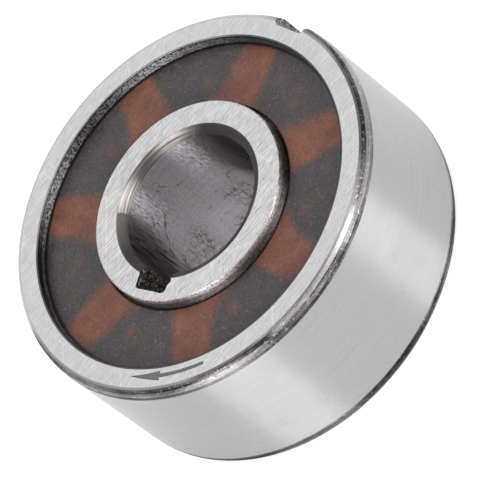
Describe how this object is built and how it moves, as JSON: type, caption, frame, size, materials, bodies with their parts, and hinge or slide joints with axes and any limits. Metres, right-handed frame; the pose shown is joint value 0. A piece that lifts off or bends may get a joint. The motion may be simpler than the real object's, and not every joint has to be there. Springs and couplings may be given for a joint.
{
  "type": "sprag clutch bearing",
  "caption": "One-way sprag clutch built into a shielded ball bearing, with a keyway in the bore and one in the outer seat.",
  "frame": {"origin": "on the bore's axis at the middle of the width", "axes": "+Z along the bore's axis towards the marked face, +X through the middle of the outer keyway"},
  "size_m": [0.022, 0.022, 0.009],
  "materials": {
    "bearing_steel": "ground and lapped, fine circumferential marks",
    "shield_film": "thin dark brown translucent nylon, slightly dusty",
    "cage_polymer": "moulded black nylon",
    "ball_steel": "polished",
    "sprag_steel": "ground",
    "spring_steel": "drawn wire, close coiled"
  },
  "bodies": {
    "outer": {"outer_ring": "bearing_steel", "front_shield": "shield_film", "rear_shield": "shield_film"},
    "inner": {"inner_ring": "bearing_steel"},
    "cage": {"cage": "cage_polymer", "front_garter_spring": "spring_steel", "rear_garter_spring": "spring_steel"},
    "ball_1": {"ball_1": "ball_steel"},
    "ball_2": {"ball_2": "ball_steel"},
    "ball_3": {"ball_3": "ball_steel"},
    "ball_4": {"ball_4": "ball_steel"},
    "ball_5": {"ball_5": "ball_steel"},
    "ball_6": {"ball_6": "ball_steel"},
    "ball_7": {"ball_7": "ball_steel"},
    "sprag_1": {"sprag_1": "sprag_steel"},
    "sprag_2": {"sprag_2": "sprag_steel"},
    "sprag_3": {"sprag_3": "sprag_steel"},
    "sprag_4": {"sprag_4": "sprag_steel"},
    "sprag_5": {"sprag_5": "sprag_steel"},
    "sprag_6": {"sprag_6": "sprag_steel"},
    "sprag_7": {"sprag_7": "sprag_steel"},
    "sprag_8": {"sprag_8": "sprag_steel"},
    "sprag_9": {"sprag_9": "sprag_steel"},
    "sprag_10": {"sprag_10": "sprag_steel"},
    "sprag_11": {"sprag_11": "sprag_steel"},
    "sprag_12": {"sprag_12": "sprag_steel"},
    "sprag_13": {"sprag_13": "sprag_steel"},
    "sprag_14": {"sprag_14": "sprag_steel"}
  },
  "joints": [
    {"name": "inner_spin", "type": "hinge", "parent": "outer", "child": "inner", "pos_m": [0, 0, 0], "axis": [0, 0, 1], "range_deg": [0, 3690]},
    {"name": "cage_spin", "type": "hinge", "parent": "outer", "child": "cage", "pos_m": [0, 0, 0], "axis": [0, 0, 1], "range_deg": [0, 1455]},
    {"name": "ball_1_spin", "type": "hinge", "parent": "cage", "child": "ball_1", "pos_m": [0.00737, 0.00137, 0], "axis": [0, 0, 1], "range_deg": [-8330, 0]},
    {"name": "ball_2_spin", "type": "hinge", "parent": "cage", "child": "ball_2", "pos_m": [0.00352, 0.00662, 0], "axis": [0, 0, 1], "range_deg": [-8330, 0]},
    {"name": "ball_3_spin", "type": "hinge", "parent": "cage", "child": "ball_3", "pos_m": [-0.00298, 0.00688, 0], "axis": [0, 0, 1], "range_deg": [-8330, 0]},
    {"name": "ball_4_spin", "type": "hinge", "parent": "cage", "child": "ball_4", "pos_m": [-0.00724, 0.00196, 0], "axis": [0, 0, 1], "range_deg": [-8330, 0]},
    {"name": "ball_5_spin", "type": "hinge", "parent": "cage", "child": "ball_5", "pos_m": [-0.00605, -0.00444, 0], "axis": [0, 0, 1], "range_deg": [-8330, 0]},
    {"name": "ball_6_spin", "type": "hinge", "parent": "cage", "child": "ball_6", "pos_m": [-0.0003, -0.00749, 0], "axis": [0, 0, 1], "range_deg": [-8330, 0]},
    {"name": "ball_7_spin", "type": "hinge", "parent": "cage", "child": "ball_7", "pos_m": [0.00567, -0.00491, 0], "axis": [0, 0, 1], "range_deg": [-8330, 0]},
    {"name": "sprag_1_tilt", "type": "hinge", "parent": "cage", "child": "sprag_1", "pos_m": [0.0065, 0.00374, 0], "axis": [0, 0, 1], "range_deg": [-5, 0], "stiffness_Nm_per_rad": 0.00001},
    {"name": "sprag_2_tilt", "type": "hinge", "parent": "cage", "child": "sprag_2", "pos_m": [0.00552, 0.00507, 0], "axis": [0, 0, 1], "range_deg": [-5, 0], "stiffness_Nm_per_rad": 0.00001},
    {"name": "sprag_3_tilt", "type": "hinge", "parent": "cage", "child": "sprag_3", "pos_m": [0.00112, 0.00742, 0], "axis": [0, 0, 1], "range_deg": [-5, 0], "stiffness_Nm_per_rad": 0.00001},
    {"name": "sprag_4_tilt", "type": "hinge", "parent": "cage", "child": "sprag_4", "pos_m": [-0.00052, 0.00748, 0], "axis": [0, 0, 1], "range_deg": [-5, 0], "stiffness_Nm_per_rad": 0.00001},
    {"name": "sprag_5_tilt", "type": "hinge", "parent": "cage", "child": "sprag_5", "pos_m": [-0.0051, 0.0055, 0], "axis": [0, 0, 1], "range_deg": [-5, 0], "stiffness_Nm_per_rad": 0.00001},
    {"name": "sprag_6_tilt", "type": "hinge", "parent": "cage", "child": "sprag_6", "pos_m": [-0.00617, 0.00426, 0], "axis": [0, 0, 1], "range_deg": [-5, 0], "stiffness_Nm_per_rad": 0.00001},
    {"name": "sprag_7_tilt", "type": "hinge", "parent": "cage", "child": "sprag_7", "pos_m": [-0.00748, -0.00055, 0], "axis": [0, 0, 1], "range_deg": [-5, 0], "stiffness_Nm_per_rad": 0.00001},
    {"name": "sprag_8_tilt", "type": "hinge", "parent": "cage", "child": "sprag_8", "pos_m": [-0.00718, -0.00217, 0], "axis": [0, 0, 1], "range_deg": [-5, 0], "stiffness_Nm_per_rad": 0.00001},
    {"name": "sprag_9_tilt", "type": "hinge", "parent": "cage", "child": "sprag_9", "pos_m": [-0.00423, -0.00619, 0], "axis": [0, 0, 1], "range_deg": [-5, 0], "stiffness_Nm_per_rad": 0.00001},
    {"name": "sprag_10_tilt", "type": "hinge", "parent": "cage", "child": "sprag_10", "pos_m": [-0.00278, -0.00697, 0], "axis": [0, 0, 1], "range_deg": [-5, 0], "stiffness_Nm_per_rad": 0.00001},
    {"name": "sprag_11_tilt", "type": "hinge", "parent": "cage", "child": "sprag_11", "pos_m": [0.0022, -0.00717, 0], "axis": [0, 0, 1], "range_deg": [-5, 0], "stiffness_Nm_per_rad": 0.00001},
    {"name": "sprag_12_tilt", "type": "hinge", "parent": "cage", "child": "sprag_12", "pos_m": [0.00372, -0.00651, 0], "axis": [0, 0, 1], "range_deg": [-5, 0], "stiffness_Nm_per_rad": 0.00001},
    {"name": "sprag_13_tilt", "type": "hinge", "parent": "cage", "child": "sprag_13", "pos_m": [0.00698, -0.00275, 0], "axis": [0, 0, 1], "range_deg": [-5, 0], "stiffness_Nm_per_rad": 0.00001},
    {"name": "sprag_14_tilt", "type": "hinge", "parent": "cage", "child": "sprag_14", "pos_m": [0.00741, -0.00116, 0], "axis": [0, 0, 1], "range_deg": [-5, 0], "stiffness_Nm_per_rad": 0.00001}
  ],
  "couplings": [
    {"joint": "cage_spin", "follows": "inner_spin", "ratio": 0.39417},
    {"joint": "ball_1_spin", "follows": "inner_spin", "ratio": -2.2564},
    {"joint": "ball_2_spin", "follows": "inner_spin", "ratio": -2.2564},
    {"joint": "ball_3_spin", "follows": "inner_spin", "ratio": -2.2564},
    {"joint": "ball_4_spin", "follows": "inner_spin", "ratio": -2.2564},
    {"joint": "ball_5_spin", "follows": "inner_spin", "ratio": -2.2564},
    {"joint": "ball_6_spin", "follows": "inner_spin", "ratio": -2.2564},
    {"joint": "ball_7_spin", "follows": "inner_spin", "ratio": -2.2564},
    {"joint": "sprag_2_tilt", "follows": "sprag_1_tilt", "ratio": 1},
    {"joint": "sprag_3_tilt", "follows": "sprag_1_tilt", "ratio": 1},
    {"joint": "sprag_4_tilt", "follows": "sprag_1_tilt", "ratio": 1},
    {"joint": "sprag_5_tilt", "follows": "sprag_1_tilt", "ratio": 1},
    {"joint": "sprag_6_tilt", "follows": "sprag_1_tilt", "ratio": 1},
    {"joint": "sprag_7_tilt", "follows": "sprag_1_tilt", "ratio": 1},
    {"joint": "sprag_8_tilt", "follows": "sprag_1_tilt", "ratio": 1},
    {"joint": "sprag_9_tilt", "follows": "sprag_1_tilt", "ratio": 1},
    {"joint": "sprag_10_tilt", "follows": "sprag_1_tilt", "ratio": 1},
    {"joint": "sprag_11_tilt", "follows": "sprag_1_tilt", "ratio": 1},
    {"joint": "sprag_12_tilt", "follows": "sprag_1_tilt", "ratio": 1},
    {"joint": "sprag_13_tilt", "follows": "sprag_1_tilt", "ratio": 1},
    {"joint": "sprag_14_tilt", "follows": "sprag_1_tilt", "ratio": 1}
  ]
}
